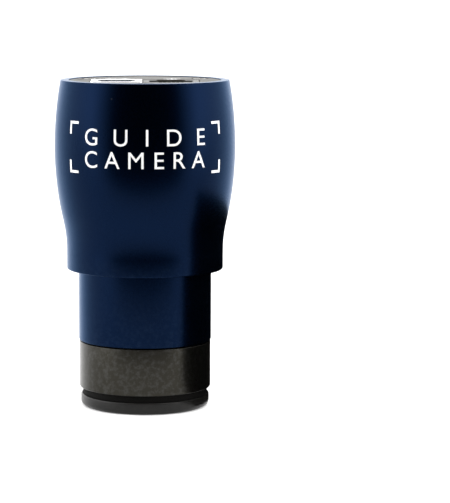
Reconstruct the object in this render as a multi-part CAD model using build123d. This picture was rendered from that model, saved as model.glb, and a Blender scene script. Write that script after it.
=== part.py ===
from build123d import *

import math
import os

# Guide camera for a telescope, with a 1.25 inch barrel: one STEP file for each sub-part, in millimetres.
# The origin is the centre of the dust cap's foot. +Z runs along the optical axis from the nose to the
# rear panel, and -Y is the printed front. The rear panel and the boards are laid out in port axes,
# u and v, with u towards -X and v towards -Y, which is how the panel reads with its ports at the top.

# Clearances
running_clearance = 0.08
thread_clearance = 0.05
slip_clearance = 0.05
seal_clearance = 0.05

# Head shell
head_length = 45.0
head_belly_diameter = 43.0
belly_height = 29.0  # of the widest section above the head's bottom
rim_inset = 1.45  # how far the rear rim lies inside the widest section
neck_inset = 2.85  # how far the neck lies inside the widest section
neck_length = 4.1
convex_share = 0.7  # of the two arcs between neck and widest section, the convex one's part
rim_wall = 1.95
ledge_width = 0.9
neck_wall = 1.35
wide_bore_start = 9.0  # where the cavity takes its rear size, above the head's bottom
head_floor = 3.5
rim_edge = 0.2
neck_edge = 0.5

# Barrel
barrel_diameter = 31.7
barrel_length = 17.05
barrel_thread_wall = 1.85
barrel_edge = 0.25
spigot_step = 3.05
spigot_wall = 1.2
baffle_step = 1.5
baffle_pitch = 1.0
baffle_depth = 0.35
window_seat_width = 1.1
window_seat_thickness = 1.0
window_chamber_depth = 9.0  # from the floor of the head down to the window's seat
seam_gap = 0.3  # between barrel and nosepiece
thread_end_gap = 0.5

# Nosepiece
nosepiece_length = 11.1
nosepiece_relief = 0.15  # how far it lies inside the barrel's diameter
nosepiece_edge = 0.3
nosepiece_thread_length = 5.0
nosepiece_thread_pitch = 0.75
thread_depth = 0.35
groove_start = 0.1  # of the pitch, from a crest to where its groove opens
thread_root_length = 1.0  # plain neck beside the shoulder, where the seal sits
filter_thread_wall = 1.75
filter_thread_length = 4.5
filter_thread_pitch = 0.6
filter_thread_depth = 0.3
light_bore_step = 1.35

# Seal between nosepiece and barrel
nose_seal_section = 0.84
nose_seal_room = 0.8  # depth of its counterbore in the barrel
nose_seal_side_room = 0.1  # outside the ring, in the counterbore

# Dust cap
cap_flange_height = 2.9
cap_flange_inset = 0.35
cap_flange_edge = 1.2
cap_neck_height = 1.65
cap_neck_inset = 0.8
cap_spigot_length = 4.0
cap_wall = 1.2
cap_floor = 1.6
cap_foot_width = 3.0
cap_foot_height = 0.5

# Protective window
window_thickness = 1.6
window_seal_section = 1.0
window_gap = 0.2  # between the glass and its chamber's wall
retainer_height = 2.0
retainer_width = 1.4
spanner_slot_width = 1.2
spanner_slot_depth = 0.8

# Image sensor
sensor_width = 12.2
sensor_depth = 9.6
sensor_height = 1.6
sensor_frame = 1.2
sensor_glass_thickness = 0.5
die_width = 7.9
die_depth = 5.6
die_thickness = 0.5
gasket_width = 1.0

# Circuit boards
board_thickness = 1.6
sensor_board_thickness = 1.2
sensor_board_height = 3.0  # above the head's floor
board_gap = 0.3  # round each board's edge
header_width = 12.0
header_depth = 3.6
socket_width = 11.0
socket_depth = 2.8
header_offset = 11.5  # from the axis

# Standoffs and screws, all M2
screw_edge = 2.0  # from the cavity's wall to the screws' centres
screw_angles = (90.0, 210.0, 330.0)  # in port axes
standoff_flats = 3.5
standoff_turn = 30.0  # so that a flat faces the cavity's wall
spacer_diameter = 3.4
tapped_hole_diameter = 2.0
stud_diameter = 1.9
board_hole_diameter = 2.2
stud_reach = 2.5  # of a stud into the piece below
tapped_hole_spare = 0.5
tapped_hole_share = 0.8  # at most, of a short standoff's length
screw_head_diameter = 3.8
screw_head_height = 1.5
screw_head_recess = 0.1
screw_length = 5.0
screw_socket_flats = 1.5
screw_socket_depth = 0.9
screw_head_edge = 0.25

# Rear panel
panel_thickness = 2.5
panel_recess = 0.15  # below the rim
panel_gap = 0.15  # round its edge
panel_edge = 0.15
counterbore_diameter = 4.3
counterbore_depth = 1.6
port_cut_gap = 0.15
port_corner_gap = 0.6  # from the ports' outer corners to the cavity's wall
port_gap = 0.2  # between the two ports
port_height = 16.5  # from the interface board to the panel's face

# Guide jack, six-way modular
jack_width = 13.2
jack_depth = 12.0
jack_face_recess = 0.05
jack_edge = 0.2
jack_mouth_width = 10.2
jack_mouth_depth = 7.2
jack_mouth_offset = -0.15
jack_mouth_reach = 12.5
latch_width = 6.65
contact_count = 6
contact_pitch = 1.02
contact_width = 0.45
contact_thickness = 0.35
contact_slot_width = 0.65
contact_slot_depth = 1.5
contact_bend = 0.4
contact_end_rise = 0.18  # of the mouth's depth, above its middle
contact_end_reach = 0.72  # of the mouth's reach

# USB socket, square device type with the upper row of contacts
usb_width = 12.1
usb_depth = 11.9
usb_proud = 0.15  # above the panel
usb_sheet = 0.4
usb_lip = 0.6
usb_corner = 0.8
usb_low_width = 8.9
usb_high_width = 7.1
usb_mouth_low = -4.85  # from the socket's centre
usb_bevel_low = 0.85
usb_bevel_high = 2.75
usb_mouth_high = 5.35
usb_seam = 0.2
usb_mouth_reach = 11.0
usb_mouth_ease = 0.1  # the insulator's mouth stands back from the lip
main_tongue_width = 5.6
main_tongue_thickness = 3.15
main_tongue_offset = -0.97
main_tongue_recess = 2.0
upper_tongue_width = 5.0
upper_tongue_thickness = 1.2
upper_tongue_offset = 4.4
upper_tongue_recess = 1.5
usb_contact_thickness = 0.15
usb_contact_recess = 1.0  # behind the tongue's end
main_contact_width = 1.1
upper_contact_count = 5
upper_contact_share = 0.5  # of their pitch that is metal

# Status light
light_angle = -4.5  # in port axes
light_hole_diameter = 1.4
light_pipe_diameter = 1.2
light_pipe_recess = 1.2
led_width = 2.0
led_depth = 1.25
led_height = 0.8

# Chips: width, depth, height, and the centre's u and v
image_processor = (12.0, 12.0, 1.4, -5.5, 1.5)
memory_chip = (9.0, 11.0, 1.1, 7.5, 1.5)
usb_controller = (8.0, 8.0, 0.9, 0.0, 1.0)

# Other components: width, depth and height, then the centres' u and v
crystal_size = (3.2, 2.5, 0.8)
crystal_places = ((-8.0, 1.0), (8.0, 1.0))
inductor_size = (4.0, 4.0, 2.0)
inductor_places = ((-4.0, 11.0), (4.0, 11.0))
regulator_size = (2.9, 1.6, 1.1)
regulator_places = ((-4.0, -6.0), (4.0, -6.0))
optocoupler_size = (4.4, 3.6, 2.0)
optocoupler_places = ((-9.0, 5.0), (-3.0, 5.0), (3.0, 5.0), (9.0, 5.0))
capacitor_size = (1.6, 0.8, 0.8)
capacitor_us = (-7.5, -4.5, -1.5, 1.5, 4.5, 7.5)
capacitor_v = -6.5
sensor_capacitor_v = 9.5

# Radii that follow
barrel_radius = barrel_diameter / 2
nosepiece_radius = barrel_radius - nosepiece_relief
filter_bore_radius = nosepiece_radius - filter_thread_wall
light_bore_radius = filter_bore_radius - light_bore_step
barrel_thread_radius = barrel_radius - barrel_thread_wall
nose_thread_radius = barrel_thread_radius - thread_clearance
baffle_radius = barrel_thread_radius - baffle_step
spigot_radius = barrel_radius - spigot_step
chamber_radius = spigot_radius - spigot_wall
aperture_radius = chamber_radius - window_seat_width
cap_neck_radius = nosepiece_radius - cap_neck_inset
cap_flange_radius = nosepiece_radius - cap_flange_inset
cap_spigot_radius = filter_bore_radius - running_clearance
belly_radius = head_belly_diameter / 2
rim_radius = belly_radius - rim_inset
neck_radius = belly_radius - neck_inset
pocket_radius = rim_radius - rim_wall
panel_radius = pocket_radius - panel_gap
cavity_radius = pocket_radius - ledge_width
neck_bore_radius = neck_radius - neck_wall
board_radius = cavity_radius - board_gap
sensor_board_radius = neck_bore_radius - board_gap
screw_circle = min(cavity_radius, neck_bore_radius) - screw_edge

# Heights that follow
nosepiece_bottom = cap_flange_height + cap_neck_height
nosepiece_shoulder = nosepiece_bottom + nosepiece_length
barrel_bottom = nosepiece_shoulder + seam_gap
head_bottom = barrel_bottom + barrel_length
floor_top = head_bottom + head_floor
head_top = head_bottom + head_length
window_seat_top = floor_top - window_chamber_depth
window_bottom = window_seat_top + window_seal_section
retainer_bottom = window_bottom + window_thickness
panel_top = head_top - panel_recess
panel_bottom = panel_top - panel_thickness
sensor_board_bottom = floor_top + sensor_board_height
sensor_board_top = sensor_board_bottom + sensor_board_thickness
interface_board_top = panel_top - port_height
interface_board_bottom = interface_board_top - board_thickness
stack_gap = (interface_board_bottom - sensor_board_top - board_thickness) / 2
main_board_bottom = sensor_board_top + stack_gap
main_board_top = main_board_bottom + board_thickness
jack_face = panel_top - jack_face_recess
usb_face = panel_top + usb_proud

# Places in port axes that follow
port_row_half = (jack_width + port_gap + usb_width) / 2
port_depth = max(jack_depth, usb_depth)
port_row_far = math.sqrt((cavity_radius - port_corner_gap) ** 2 - port_row_half**2)
port_v = port_row_far - port_depth / 2
jack_u = -port_row_half + jack_width / 2
usb_u = port_row_half - usb_width / 2
light_u = screw_circle * math.cos(math.radians(light_angle))
light_v = screw_circle * math.sin(math.radians(light_angle))
screw_places = [
    (screw_circle * math.cos(math.radians(angle)), screw_circle * math.sin(math.radians(angle)))
    for angle in screw_angles
]
port_axes = Rot(0, 0, 180)
standing = (Align.CENTER, Align.CENTER, Align.MIN)


# Shapes that many pieces share
def outline(points, roundings=()):
    """Face with corners at (radius, height) points. Each rounding is a corner and its radius."""
    face = make_face(Polyline(*points, close=True))
    return rounded(face, roundings)


def rounded(face, roundings):
    """The face with the corner nearest to each given point rounded."""
    for corner, radius in roundings:
        vertex = face.vertices().sort_by_distance((corner[0], corner[1], 0))[0]
        face = fillet(vertex, radius)
    return face


def turned(face):
    """The face, drawn in radius and height, turned about the optical axis."""
    return revolve(Plane.XZ * face, Axis.Z)


def ring(outer, inner, bottom, top):
    """Plain ring between two radii and two heights."""
    return turned(outline([(inner, bottom), (outer, bottom), (outer, top), (inner, top)]))


def rod(radius, bottom, top, u=0.0, v=0.0):
    """Plain round rod or hole that stands at a place."""
    return Pos(u, v, bottom) * Cylinder(radius, top - bottom, align=standing)


def block(width, depth, bottom, top, u=0.0, v=0.0):
    """Plain block that stands at a place."""
    return Pos(u, v, bottom) * Box(width, depth, top - bottom, align=standing)


def grooves(radius, depth, pitch, start, end):
    """Outline points of V grooves from one height to the next. A negative depth cuts outwards."""
    count = max(1, math.floor(abs(end - start) / pitch))
    step = math.copysign(pitch, end - start)
    points = []
    for turn in range(count):
        crest = start + step * turn
        points.append((radius, crest + step * groove_start))
        points.append((radius - depth, crest + step / 2))
        points.append((radius, crest + step * (1 - groove_start)))
    return points


def each_screw(shape):
    """Copies of a shape, drawn on the axis, at the screws' places."""
    return [Pos(u, v, 0) * shape for u, v in screw_places]


# Nose
def make_dust_cap():
    """Plug with a rim to pull it by, a neck, and a hollow spigot that goes into the filter thread."""
    spigot_top = nosepiece_bottom + cap_spigot_length
    inside = cap_spigot_radius - cap_wall
    foot_inside = cap_flange_radius - cap_foot_width
    points = [
        (0, cap_foot_height),
        (foot_inside, cap_foot_height),
        (foot_inside, 0),
        (cap_flange_radius, 0),
        (cap_flange_radius, cap_flange_height),
        (cap_neck_radius, cap_flange_height),
        (cap_neck_radius, nosepiece_bottom),
        (cap_spigot_radius, nosepiece_bottom),
        (cap_spigot_radius, spigot_top),
        (inside, spigot_top),
        (inside, cap_foot_height + cap_floor),
        (0, cap_foot_height + cap_floor),
    ]
    softened = [
        ((cap_flange_radius, 0), cap_flange_edge),
        ((cap_flange_radius, cap_flange_height), cap_flange_edge / 4),
        ((foot_inside, 0), cap_flange_edge / 6),
        ((cap_spigot_radius, spigot_top), cap_wall / 3),
        ((inside, cap_foot_height + cap_floor), cap_wall / 2),
    ]
    return turned(outline(points, softened))


def make_nosepiece():
    """Front sleeve: filter thread inside its mouth, and a male thread that goes into the barrel."""
    thread_start = nosepiece_shoulder + thread_root_length
    thread_end = nosepiece_shoulder + nosepiece_thread_length
    filter_end = nosepiece_bottom + filter_thread_length
    root_radius = nose_thread_radius - thread_depth
    lead_in = filter_thread_pitch / 2
    points = [
        (nosepiece_radius, nosepiece_bottom),
        (nosepiece_radius, nosepiece_shoulder),
        (root_radius, nosepiece_shoulder),
        (root_radius, thread_start),
        *grooves(nose_thread_radius, thread_depth, nosepiece_thread_pitch, thread_start, thread_end),
        (nose_thread_radius, thread_end),
        (light_bore_radius, thread_end),
        (light_bore_radius, filter_end),
        (filter_bore_radius, filter_end),
        *grooves(
            filter_bore_radius,
            -filter_thread_depth,
            filter_thread_pitch,
            filter_end,
            nosepiece_bottom + lead_in,
        ),
        (filter_bore_radius, nosepiece_bottom),
    ]
    softened = [
        ((nosepiece_radius, nosepiece_bottom), nosepiece_edge),
        ((nosepiece_radius, nosepiece_shoulder), nosepiece_edge / 2),
    ]
    return turned(outline(points, softened))


def make_nose_seal():
    """Round rubber ring in the seam between nosepiece and barrel."""
    section = nose_seal_section / 2
    centre = nose_thread_radius - thread_depth + seal_clearance + section
    height = nosepiece_shoulder + seal_clearance + section
    return turned(Pos(centre, height) * Circle(section))


def make_barrel():
    """1.25 inch tube: nosepiece thread, baffles, window seat, and a spigot through the head's floor."""
    seal_top = barrel_bottom + nose_seal_room
    seal_outer = nose_thread_radius - thread_depth + seal_clearance + nose_seal_section
    thread_end = nosepiece_shoulder + nosepiece_thread_length + thread_end_gap
    baffle_end = window_seat_top - window_seat_thickness
    mouth_radius = max(seal_outer + nose_seal_side_room, barrel_thread_radius + slip_clearance)
    points = [
        (mouth_radius, barrel_bottom),
        (barrel_radius, barrel_bottom),
        (barrel_radius, head_bottom),
        (spigot_radius, head_bottom),
        (spigot_radius, floor_top),
        (chamber_radius, floor_top),
        (chamber_radius, window_seat_top),
        (aperture_radius, window_seat_top),
        (aperture_radius, baffle_end),
        (baffle_radius, baffle_end),
        *grooves(baffle_radius, -baffle_depth, baffle_pitch, baffle_end, thread_end),
        (baffle_radius, thread_end),
        (barrel_thread_radius, thread_end),
        *grooves(
            barrel_thread_radius, -thread_depth, nosepiece_thread_pitch, thread_end, seal_top
        ),
        (barrel_thread_radius, seal_top),
        (mouth_radius, seal_top),
    ]
    softened = [((barrel_radius, barrel_bottom), barrel_edge)]
    return turned(outline(points, softened))


# Head
def head_profile():
    """Outer line of the head from its bottom to its rim: neck, concave arc, convex arc, rear arc."""
    neck_top = head_bottom + neck_length
    belly = head_bottom + belly_height
    rise = belly - neck_top
    swell = belly_radius - neck_radius
    both_radii = (rise**2 + swell**2) / (2 * swell)
    concave_radius = both_radii * (1 - convex_share)
    turn = math.asin(rise / both_radii)
    change_radius = neck_radius + concave_radius * (1 - math.cos(turn))
    change_height = neck_top + concave_radius * math.sin(turn)
    change = (change_radius, change_height)
    neck = Line((neck_radius, head_bottom), (neck_radius, neck_top))
    concave = TangentArc((neck_radius, neck_top), change, tangent=(0, 1))
    convex = TangentArc((belly_radius, belly), change, tangent=(0, -1))
    rear = TangentArc((belly_radius, belly), (rim_radius, head_top), tangent=(0, 1))
    return neck + concave + convex + rear


def make_head_shell():
    """Turned shell: floor with the barrel's hole, stepped cavity, ledge and pocket for the panel."""
    hole_radius = spigot_radius + slip_clearance
    wide_start = head_bottom + wide_bore_start
    inner = Polyline(
        (rim_radius, head_top),
        (pocket_radius, head_top),
        (pocket_radius, panel_bottom),
        (cavity_radius, panel_bottom),
        (cavity_radius, wide_start),
        (neck_bore_radius, wide_start - abs(cavity_radius - neck_bore_radius)),
        (neck_bore_radius, floor_top),
        (hole_radius, floor_top),
        (hole_radius, head_bottom),
        (neck_radius, head_bottom),
    )
    softened = [
        ((rim_radius, head_top), rim_edge),
        ((pocket_radius, head_top), rim_edge / 2),
        ((neck_radius, head_bottom), neck_edge),
    ]
    shell = turned(rounded(make_face(head_profile() + inner), softened))
    hole_bottom = floor_top - stud_reach - tapped_hole_spare
    tapped_hole = rod(tapped_hole_diameter / 2, hole_bottom, floor_top)
    for hole in each_screw(tapped_hole):
        shell -= hole
    return shell


# Window, between the barrel's seat and its chamber's mouth
def make_window_seal():
    """Rubber ring under the glass."""
    section = window_seal_section / 2
    centre = chamber_radius - seal_clearance - section
    return turned(Pos(centre, window_seat_top + section) * Circle(section))


def make_window_glass():
    """Clear disc that keeps dust from the sensor."""
    return rod(chamber_radius - window_gap, window_bottom, window_bottom + window_thickness)


def make_window_retainer():
    """Threaded ring over the glass, with two slots for a spanner."""
    outer = chamber_radius - thread_clearance
    top = retainer_bottom + retainer_height
    body = ring(outer, outer - retainer_width, retainer_bottom, top)
    return body - block(2 * chamber_radius, spanner_slot_width, top - spanner_slot_depth, top)


# Sensor
def make_sensor_package():
    """Frame that holds the die behind its cover glass. It hangs under the sensor board."""
    bottom = sensor_board_bottom - sensor_height
    body = block(sensor_width, sensor_depth, bottom, sensor_board_bottom)
    inside = (sensor_width - 2 * sensor_frame, sensor_depth - 2 * sensor_frame)
    return body - block(*inside, bottom, sensor_board_bottom - sensor_frame / 2)


def make_sensor_die():
    """Silicon chip with the light-sensitive area."""
    top = sensor_board_bottom - sensor_frame / 2
    return block(die_width, die_depth, top - die_thickness, top)


def make_sensor_cover_glass():
    """Cover glass let into the frame."""
    bottom = sensor_board_bottom - sensor_height
    width = sensor_width - 2 * sensor_frame - 2 * slip_clearance
    depth = sensor_depth - 2 * sensor_frame - 2 * slip_clearance
    return block(width, depth, bottom, bottom + sensor_glass_thickness)


def make_sensor_gasket():
    """Foam ring that closes the space between the spigot and the sensor board."""
    outer = spigot_radius - slip_clearance
    return ring(outer, outer - gasket_width, floor_top, sensor_board_bottom)


# Boards and what holds them
def make_board(radius, bottom, thickness):
    """Round circuit board with its three holes."""
    board = rod(radius, bottom, bottom + thickness)
    for hole in each_screw(rod(board_hole_diameter / 2, bottom, bottom + thickness)):
        board -= hole
    return board


def make_spacers():
    """Plain tubes between the head's floor and the sensor board."""
    tube = ring(spacer_diameter / 2, board_hole_diameter / 2, floor_top, sensor_board_bottom)
    return each_screw(tube)


def make_standoffs(bottom, top, stud_length):
    """Hexagon pillars with a stud below and a tapped hole above, flats facing the cavity's wall."""
    pillars = []
    for (u, v), angle in zip(screw_places, screw_angles):
        turn = angle + standoff_turn
        hexagon = RegularPolygon(standoff_flats / 2, 6, major_radius=False, rotation=turn)
        body = Pos(u, v, bottom) * extrude(hexagon, top - bottom)
        hole_depth = min(stud_reach + tapped_hole_spare, (top - bottom) * tapped_hole_share)
        body -= rod(tapped_hole_diameter / 2, top - hole_depth, top, u, v)
        pillars.append(body + rod(stud_diameter / 2, bottom - stud_length, bottom, u, v))
    return pillars


def make_rear_standoffs():
    """Long pillars that the rear panel is screwed to, each with a hole as deep as its screw."""
    pillars = make_standoffs(interface_board_top, panel_bottom, board_thickness + stud_reach)
    web = panel_thickness - counterbore_depth
    hole_depth = screw_length - web + tapped_hole_spare
    hole = rod(tapped_hole_diameter / 2, panel_bottom - hole_depth, panel_bottom)
    return [pillar - cut for pillar, cut in zip(pillars, each_screw(hole))]


def make_header(bottom, low_half):
    """One half of a board-to-board connector across the gap above a board."""
    middle = bottom + stack_gap / 2
    if low_half:
        return block(header_width, header_depth, bottom, middle, 0, -header_offset)
    return block(socket_width, socket_depth, middle, bottom + stack_gap, 0, -header_offset)


def chip(size, surface, upwards=True):
    """Chip of width, depth, height, u and v on a board's surface."""
    width, depth, height, u, v = size
    if upwards:
        return block(width, depth, surface, surface + height, u, v)
    return block(width, depth, surface - height, surface, u, v)


def chips(size, places, surface, upwards=True):
    """Several chips of one size."""
    return [chip((*size, u, v), surface, upwards) for u, v in places]


def make_capacitors():
    """Ceramic capacitors of the three boards, in one row on each."""
    row = [(u, capacitor_v) for u in capacitor_us]
    sensor_row = [(u, sensor_capacitor_v) for u in capacitor_us]
    return [
        *chips(capacitor_size, sensor_row, sensor_board_top),
        *chips(capacitor_size, row, main_board_top),
        *chips(capacitor_size, row, interface_board_bottom, upwards=False),
    ]


# Guide jack
def jack_place():
    """Where the jack's face has its centre."""
    return Pos(jack_u, port_v, jack_face)


def contact_offsets():
    """Places of the jack's contacts across its width."""
    return [(index - (contact_count - 1) / 2) * contact_pitch for index in range(contact_count)]


def make_jack_housing():
    """Moulded body: mouth, latch slot through its lower wall, and slots for the spring contacts."""
    length = jack_face - interface_board_top
    body = extrude(Rectangle(jack_width, jack_depth), -length)
    body = chamfer(body.faces().sort_by(Axis.Z)[-1].edges(), jack_edge)
    mouth_low = jack_mouth_offset - jack_mouth_depth / 2
    mouth_high = jack_mouth_offset + jack_mouth_depth / 2
    reach = -jack_mouth_reach
    body -= block(jack_mouth_width, jack_mouth_depth, reach, 0, 0, jack_mouth_offset)
    latch_depth = mouth_low + jack_depth / 2
    body -= block(latch_width, latch_depth, reach, 0, 0, mouth_low - latch_depth / 2)
    slot_v = mouth_high + contact_slot_depth / 2
    for u in contact_offsets():
        body -= block(contact_slot_width, contact_slot_depth, -length, -contact_width, u, slot_v)
    return jack_place() * body


def make_jack_contacts():
    """Spring wires: up inside the wall from the board, over at the mouth, and back into the mouth."""
    length = jack_face - interface_board_top
    anchor = jack_mouth_offset + jack_mouth_depth / 2 + contact_slot_depth / 2 + contact_thickness
    bend_height = -contact_width - contact_thickness - contact_bend
    end_height = -jack_mouth_reach * contact_end_reach
    path = FilletPolyline(
        (anchor, -length),
        (anchor, bend_height),
        (anchor - contact_slot_depth, bend_height - contact_bend),
        (jack_mouth_offset + jack_mouth_depth * contact_end_rise, end_height),
        radius=contact_bend,
    )
    side = trace(path, contact_thickness)
    wire = extrude(Plane.YZ * side, contact_width / 2, both=True)
    return [jack_place() * Pos(u, 0, 0) * wire for u in contact_offsets()]


# USB socket
def usb_place():
    """Where the USB socket's face has its centre."""
    return Pos(usb_u, port_v, usb_face)


def usb_mouth(ease=0.0):
    """Outline of the mouth: wide below, narrower above, with a bevel between."""
    low = usb_low_width / 2 + ease
    high = usb_high_width / 2 + ease
    return make_face(
        Polyline(
            (-low, usb_mouth_low - ease),
            (low, usb_mouth_low - ease),
            (low, usb_bevel_low),
            (high, usb_bevel_high),
            (high, usb_mouth_high + ease),
            (-high, usb_mouth_high + ease),
            (-high, usb_bevel_high),
            (-low, usb_bevel_low),
            close=True,
        )
    )


def make_usb_shell():
    """Folded steel shell: a square tube with a lip in front, slit where the sheet meets."""
    length = usb_face - interface_board_top
    tube = extrude(RectangleRounded(usb_width, usb_depth, usb_corner), -length)
    tube = fillet(tube.faces().sort_by(Axis.Z)[-1].edges(), usb_sheet / 2)
    inside = RectangleRounded(
        usb_width - 2 * usb_sheet, usb_depth - 2 * usb_sheet, usb_corner - usb_sheet
    )
    tube -= Pos(0, 0, -usb_lip) * extrude(inside, usb_lip - length)
    tube -= extrude(usb_mouth(), -usb_lip)
    seam_top = usb_depth / 2
    seam_depth = seam_top - usb_mouth_high + usb_sheet / 2
    seam_u = usb_high_width / 2 - usb_seam
    for side in (-1, 1):
        tube -= block(usb_seam, 2 * seam_depth, -usb_lip, 0, side * seam_u, seam_top)
    return usb_place() * tube


def make_usb_insulator():
    """Moulded insulator that fills the shell, with its two tongues."""
    length = usb_face - interface_board_top
    floor = -usb_lip - usb_mouth_reach
    width = usb_width - 2 * usb_sheet - 2 * slip_clearance
    depth = usb_depth - 2 * usb_sheet - 2 * slip_clearance
    body = extrude(RectangleRounded(width, depth, usb_corner - usb_sheet), usb_lip - length)
    body = Pos(0, 0, -usb_lip) * body
    body -= Pos(0, 0, -usb_lip) * extrude(usb_mouth(usb_mouth_ease), -usb_mouth_reach)
    main = block(
        main_tongue_width, main_tongue_thickness, floor, -main_tongue_recess, 0, main_tongue_offset
    )
    upper = block(
        upper_tongue_width,
        upper_tongue_thickness,
        floor,
        -upper_tongue_recess,
        0,
        upper_tongue_offset,
    )
    return usb_place() * (body + main + upper)


def make_usb_contacts():
    """Flat contacts: two on each side of the main tongue, and five under the upper one."""
    floor = -usb_lip - usb_mouth_reach
    half = usb_contact_thickness / 2
    main_top = -main_tongue_recess - usb_contact_recess
    upper_top = -upper_tongue_recess - usb_contact_recess
    strips = []
    for side in (-1, 1):
        v = main_tongue_offset + side * (main_tongue_thickness / 2 + half)
        for u in (-main_tongue_width / 4, main_tongue_width / 4):
            strip = block(main_contact_width, usb_contact_thickness, floor, main_top, u, v)
            strips.append(strip)
    pitch = upper_tongue_width / upper_contact_count
    width = pitch * upper_contact_share
    v = upper_tongue_offset - upper_tongue_thickness / 2 - half
    for index in range(upper_contact_count):
        u = (index - (upper_contact_count - 1) / 2) * pitch
        strips.append(block(width, usb_contact_thickness, floor, upper_top, u, v))
    return [usb_place() * strip for strip in strips]


# Rear panel and what shows in it
def make_rear_panel():
    """Disc with one opening for both ports, three counterbored holes and the status light's hole."""
    points = [
        (0, panel_bottom),
        (panel_radius, panel_bottom),
        (panel_radius, panel_top),
        (0, panel_top),
    ]
    panel = turned(outline(points, [((panel_radius, panel_top), panel_edge)]))
    width = 2 * (port_row_half + port_cut_gap)
    depth = port_depth + 2 * port_cut_gap
    panel -= block(width, depth, panel_bottom, panel_top, 0, port_v)
    through = rod(board_hole_diameter / 2, panel_bottom, panel_top)
    counterbore = rod(counterbore_diameter / 2, panel_top - counterbore_depth, panel_top)
    for hole in each_screw(through + counterbore):
        panel -= hole
    return panel - rod(light_hole_diameter / 2, panel_bottom, panel_top, light_u, light_v)


def make_panel_screws():
    """M2 socket screws."""
    seat = panel_top - counterbore_depth
    head_face = seat + min(screw_head_height, counterbore_depth - screw_head_recess)
    head = rod(screw_head_diameter / 2, seat, head_face)
    head = fillet(head.faces().sort_by(Axis.Z)[-1].edges(), screw_head_edge)
    socket = extrude(RegularPolygon(screw_socket_flats / 2, 6, major_radius=False), screw_socket_depth)
    screw = head + rod(stud_diameter / 2, seat - screw_length, seat)
    return each_screw(screw - Pos(0, 0, head_face - screw_socket_depth) * socket)


def make_status_led():
    """Small light on the interface board."""
    return chip((led_width, led_depth, led_height, light_u, light_v), interface_board_top)


def make_light_pipe():
    """Clear rod from the light to the panel's small hole."""
    bottom = interface_board_top + led_height + slip_clearance
    return rod(light_pipe_diameter / 2, bottom, panel_top - light_pipe_recess, light_u, light_v)


def make_all():
    """Every sub-part by name: those about the axis, then those laid out in port axes."""
    nose = {
        "dust_cap": make_dust_cap(),
        "nosepiece": make_nosepiece(),
        "nose_seal": make_nose_seal(),
        "barrel": make_barrel(),
        "window_seal": make_window_seal(),
        "window_glass": make_window_glass(),
        "window_retainer": make_window_retainer(),
        "sensor_gasket": make_sensor_gasket(),
    }
    first_stud = sensor_board_thickness + sensor_board_height + stud_reach
    next_stud = board_thickness + stud_reach
    by_ports = {
        "head_shell": make_head_shell(),
        "sensor_package": make_sensor_package(),
        "sensor_die": make_sensor_die(),
        "sensor_cover_glass": make_sensor_cover_glass(),
        "sensor_board": make_board(sensor_board_radius, sensor_board_bottom, sensor_board_thickness),
        "sensor_board_spacers": make_spacers(),
        "lower_standoffs": make_standoffs(sensor_board_top, main_board_bottom, first_stud),
        "lower_board_header": make_header(sensor_board_top, low_half=True),
        "lower_board_socket": make_header(sensor_board_top, low_half=False),
        "voltage_regulators": chips(regulator_size, regulator_places, sensor_board_top),
        "main_board": make_board(board_radius, main_board_bottom, board_thickness),
        "image_processor": chip(image_processor, main_board_top),
        "memory_chip": chip(memory_chip, main_board_top),
        "power_inductors": chips(inductor_size, inductor_places, main_board_top),
        "usb_controller": chip(usb_controller, main_board_bottom, upwards=False),
        "clock_crystals": chips(crystal_size, crystal_places, main_board_bottom, upwards=False),
        "upper_standoffs": make_standoffs(main_board_top, interface_board_bottom, next_stud),
        "upper_board_header": make_header(main_board_top, low_half=True),
        "upper_board_socket": make_header(main_board_top, low_half=False),
        "interface_board": make_board(board_radius, interface_board_bottom, board_thickness),
        "guide_optocouplers": chips(
            optocoupler_size, optocoupler_places, interface_board_bottom, upwards=False
        ),
        "ceramic_capacitors": make_capacitors(),
        "status_led": make_status_led(),
        "light_pipe": make_light_pipe(),
        "rear_standoffs": make_rear_standoffs(),
        "jack_housing": make_jack_housing(),
        "jack_contacts": make_jack_contacts(),
        "usb_shell": make_usb_shell(),
        "usb_insulator": make_usb_insulator(),
        "usb_contacts": make_usb_contacts(),
        "rear_panel": make_rear_panel(),
        "panel_screws": make_panel_screws(),
    }
    placed = dict(nose)
    for name, shape in by_ports.items():
        group = shape if isinstance(shape, list) else [shape]
        placed[name] = [port_axes * piece for piece in group]
    return placed


def write_steps():
    """Writes parts/NAME.step for every sub-part."""
    os.makedirs("parts", exist_ok=True)
    for name, shape in make_all().items():
        group = shape if isinstance(shape, list) else [shape]
        solids = [solid for piece in group for solid in piece.solids()]
        whole = solids[0] if len(solids) == 1 else Compound(children=solids)
        export_step(whole, f"parts/{name}.step")


write_steps()
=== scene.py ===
import math

import bmesh
import bpy
from mathutils import Matrix, Vector


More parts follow.
